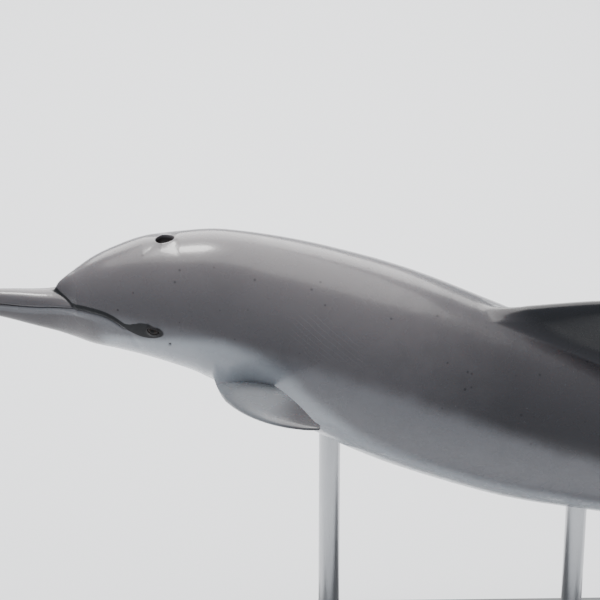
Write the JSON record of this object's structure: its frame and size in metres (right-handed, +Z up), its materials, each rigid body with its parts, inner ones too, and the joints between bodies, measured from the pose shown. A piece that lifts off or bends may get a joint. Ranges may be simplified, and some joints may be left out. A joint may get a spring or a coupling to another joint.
{
  "type": "life-size bottlenose dolphin model on a display stand",
  "caption": "Life-size bottlenose dolphin in the pose of an animal breaking the surface, head level and back arched, held by two rods on a flat display base.",
  "frame": {"origin": "middle of the underside of the display base, on the floor, under the animal's trunk", "axes": "+X toward the tail, so the head points to -X; +Y toward the animal's right side; +Z up"},
  "size_m": [2.462, 0.7973, 1.1993],
  "materials": {
    "skin_cape": "wet, smooth dark grey skin",
    "skin_jaw": "wet, smooth grey skin",
    "skin_flank": "wet, smooth grey skin, pale below",
    "skin_fin": "wet, smooth near-black skin",
    "eye": "wet, glossy dark eye",
    "stand_steel": "satin steel",
    "stand_base": "fine matt powder coat"
  },
  "bodies": {
    "root": {"upper_jaw": "skin_jaw", "lower_jaw": "skin_jaw", "melon": "skin_cape", "head": "skin_cape", "neck": "skin_cape", "chest": "skin_flank", "trunk": "skin_flank", "loin": "skin_flank", "tail_stock_front": "skin_flank", "tail_stock_rear": "skin_fin", "dorsal_fin": "skin_fin", "flipper_left": "skin_fin", "flipper_right": "skin_fin", "fluke_left": "skin_fin", "fluke_right": "skin_fin", "eye_left": "eye", "eye_right": "eye", "stand_base": "stand_base", "stand_rod_front": "stand_steel", "stand_flange_front": "stand_steel", "stand_screw_front_1": "stand_steel", "stand_screw_front_2": "stand_steel", "stand_screw_front_3": "stand_steel", "stand_screw_front_4": "stand_steel", "stand_rod_rear": "stand_steel", "stand_flange_rear": "stand_steel", "stand_screw_rear_1": "stand_steel", "stand_screw_rear_2": "stand_steel", "stand_screw_rear_3": "stand_steel", "stand_screw_rear_4": "stand_steel"}
  },
  "joints": []
}
